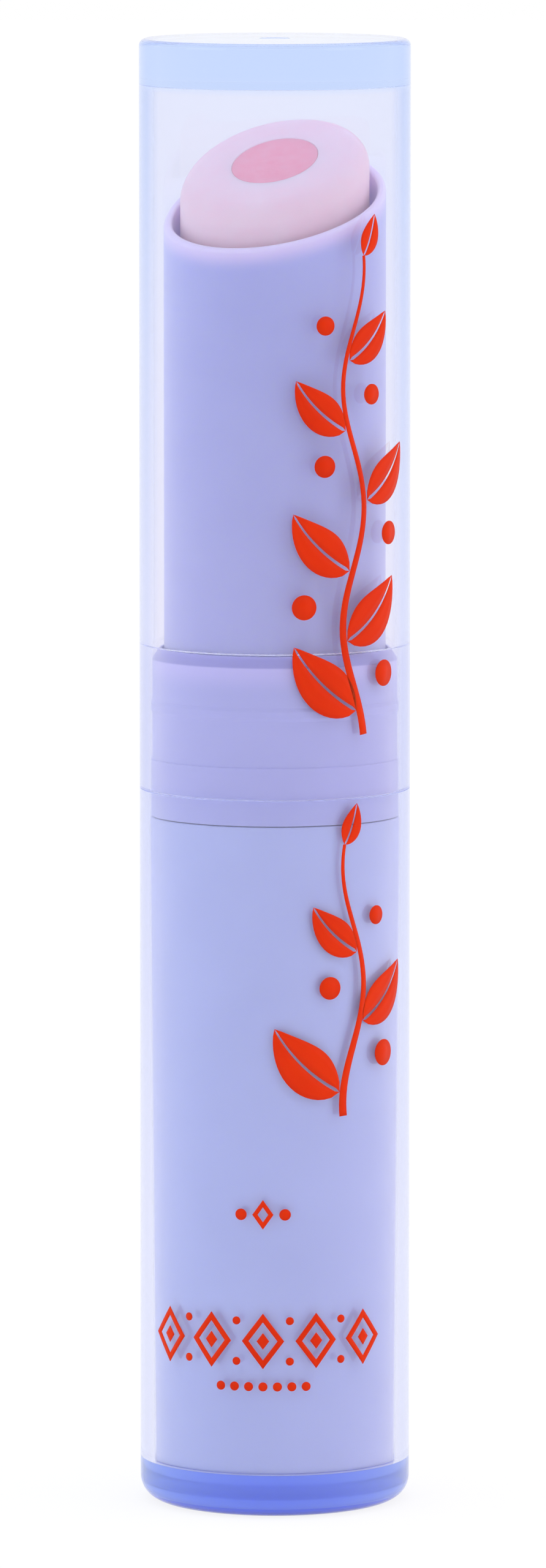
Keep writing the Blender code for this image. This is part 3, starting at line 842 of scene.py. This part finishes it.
studio = {
    "floorSize": 4.0, "floorGap": 0.01 * mm, "floorColour": "#F8F8FA", "floorGlow": 0.86,
    # White as the eye meets it; a ray with fewer diffuse turns than this is still sight
    "whiteLevel": 1.0, "diffuseTurns": 0.5, "bounces": 96,
    # The tent's light by direction: levels, and where one level passes into the next
    "frontLevel": 0.4, "sideLevel": 1.26, "backLevel": 0.61, "topLevel": 1.58,
    "frontFull": -1.0, "backFull": 0.1, "sideStart": 0.45, "sideFull": 0.9,
    "topStart": 0.35, "topFull": 0.9,
    "leftColour": "#EAF5FF", "rightColour": "#FFF6FA", "castReach": 0.8,
    "lampSize": 0.5, "lampPower": 0.3, "lampAside": 0.6, "lampForward": 0.3, "lampHeight": 0.35,
}
# The camera that fits the case's outline
view = {
    "distance": 650.0 * mm, "height": 116.07 * mm, "sideways": -0.1075 * mm,
    "tilt": math.radians(6.45), "lens": 254.5, "sensor": 36.0, "clipStart": 6.5 * mm,
}


def seenClearly(tree):
    # 1 for what is seen straight, mirrored or through clear plastic, 0 for light on the object
    path = addNode(tree, "ShaderNodeLightPath")
    mirrored = addNode(tree, "ShaderNodeMath", {
        0: path.outputs["Is Camera Ray"], 1: path.outputs["Is Glossy Ray"]},
        {"operation": "MAXIMUM"})
    clear = addNode(tree, "ShaderNodeMath", {
        0: mirrored.outputs[0], 1: path.outputs["Is Transmission Ray"]},
        {"operation": "MAXIMUM"})
    direct = addNode(tree, "ShaderNodeMath", {
        0: path.outputs["Diffuse Depth"], 1: studio["diffuseTurns"]},
        {"operation": "LESS_THAN"})
    return addNode(tree, "ShaderNodeMath", {0: clear.outputs[0], 1: direct.outputs[0]},
                   {"operation": "MULTIPLY"})


def makeFloor():
    # A white sweep: mostly its own glow to the camera and through glass, the rest keeps the shadow
    material, tree = newMaterial("paintedFloor")
    seen = seenClearly(tree)
    share = addNode(tree, "ShaderNodeMath", {0: seen.outputs[0], 1: studio["floorGlow"]},
                    {"operation": "MULTIPLY"})
    paint = addNode(tree, "ShaderNodeBsdfDiffuse", {"Color": hexColour(studio["floorColour"])})
    glow = addNode(tree, "ShaderNodeEmission", {
        "Color": white, "Strength": studio["whiteLevel"]})
    mixed = addNode(tree, "ShaderNodeMixShader", {
        0: share.outputs[0], 1: paint.outputs[0], 2: glow.outputs[0]})
    addNode(tree, "ShaderNodeOutputMaterial", {"Surface": mixed.outputs[0]})
    shape = bmesh.new()
    bmesh.ops.create_grid(shape, x_segments=1, y_segments=1, size=studio["floorSize"] / 2)
    floor = addPiece("floor", shape, material)
    floor.location.z = cadBox[0].z - studio["floorGap"]


def makeWorld():
    # A soft tent: brightest overhead and at the sides, dimmer where the camera stands
    world = bpy.data.worlds.new("softTent")
    world.use_nodes = True
    bpy.context.scene.world = world
    tree = world.node_tree
    tree.nodes.clear()
    place = addNode(tree, "ShaderNodeTexCoord")
    way = addNode(tree, "ShaderNodeSeparateXYZ", {0: place.outputs["Generated"]})
    front = addNode(tree, "ShaderNodeMapRange", {
        "Value": way.outputs["Y"], "From Min": studio["frontFull"],
        "From Max": studio["backFull"], "To Min": studio["frontLevel"],
        "To Max": studio["backLevel"]}, {"interpolation_type": "SMOOTHSTEP"})
    aside = addNode(tree, "ShaderNodeMath", {0: way.outputs["X"]}, {"operation": "ABSOLUTE"})
    sides = addNode(tree, "ShaderNodeMapRange", {
        "Value": aside.outputs[0], "From Min": studio["sideStart"],
        "From Max": studio["sideFull"]}, {"interpolation_type": "SMOOTHSTEP"})
    around = addNode(tree, "ShaderNodeMix", {
        "Factor": sides.outputs[0], "A": front.outputs[0], "B": studio["sideLevel"]})
    above = addNode(tree, "ShaderNodeMapRange", {
        "Value": way.outputs["Z"], "From Min": studio["topStart"],
        "From Max": studio["topFull"]}, {"interpolation_type": "SMOOTHSTEP"})
    level = addNode(tree, "ShaderNodeMix", {
        "Factor": above.outputs[0], "A": around.outputs[0], "B": studio["topLevel"]})
    across = addNode(tree, "ShaderNodeMapRange", {
        "Value": way.outputs["X"], "From Min": -studio["castReach"],
        "From Max": studio["castReach"]}, {"interpolation_type": "SMOOTHSTEP"})
    cast = addNode(tree, "ShaderNodeMix", {
        "Factor": across.outputs[0], colourA: hexColour(studio["leftColour"]),
        colourB: hexColour(studio["rightColour"])}, {"data_type": "RGBA"})
    clear = seenClearly(tree)
    strength = addNode(tree, "ShaderNodeMix", {
        "Factor": clear.outputs[0], "A": level.outputs[0], "B": studio["whiteLevel"]})
    colour = addNode(tree, "ShaderNodeMix", {
        "Factor": clear.outputs[0], colourA: cast.outputs[mixedColour], colourB: white},
        {"data_type": "RGBA"})
    glow = addNode(tree, "ShaderNodeBackground", {
        "Color": colour.outputs[mixedColour], "Strength": strength.outputs[0]})
    addNode(tree, "ShaderNodeOutputWorld", {"Surface": glow.outputs[0]})


def makeLamps():
    # Two large soft boxes, left and right, a little in front
    for side in (-1, 1):
        lamp = bpy.data.lights.new("softBox", "AREA")
        lamp.size = studio["lampSize"]
        lamp.energy = studio["lampPower"]
        box = bpy.data.objects.new("softBox", lamp)
        bpy.context.scene.collection.objects.link(box)
        box.location = (side * studio["lampAside"], -studio["lampForward"], studio["lampHeight"])
        aim = Vector((0.0, 0.0, highCap.z / 2)) - box.location
        box.rotation_euler = aim.to_track_quat("-Z", "Y").to_euler()
        # Their square shapes don't show through the clear case
        box.visible_transmission = False


def makeCamera():
    camera = bpy.data.cameras.new("camera")
    camera.lens = view["lens"]
    camera.sensor_width = view["sensor"]
    camera.clip_start = view["clipStart"]
    holder = bpy.data.objects.new("camera", camera)
    bpy.context.scene.collection.objects.link(holder)
    holder.location = (view["sideways"], -view["distance"], view["height"])
    holder.rotation_euler = (math.radians(90) - view["tilt"], 0.0, 0.0)
    bpy.context.scene.camera = holder


makeFloor()
makeWorld()
makeLamps()
makeCamera()
bpy.context.scene.view_settings.view_transform = "Standard"
# Light takes many turns inside the thick clear rims
bpy.context.scene.cycles.max_bounces = studio["bounces"]
bpy.context.scene.cycles.transmission_bounces = studio["bounces"]
bpy.context.scene.cycles.glossy_bounces = studio["bounces"]
# Light passes the polished case as sharply for the pieces inside as for the eye
bpy.context.scene.cycles.blur_glossy = 0.0
print("floor, light and camera set")
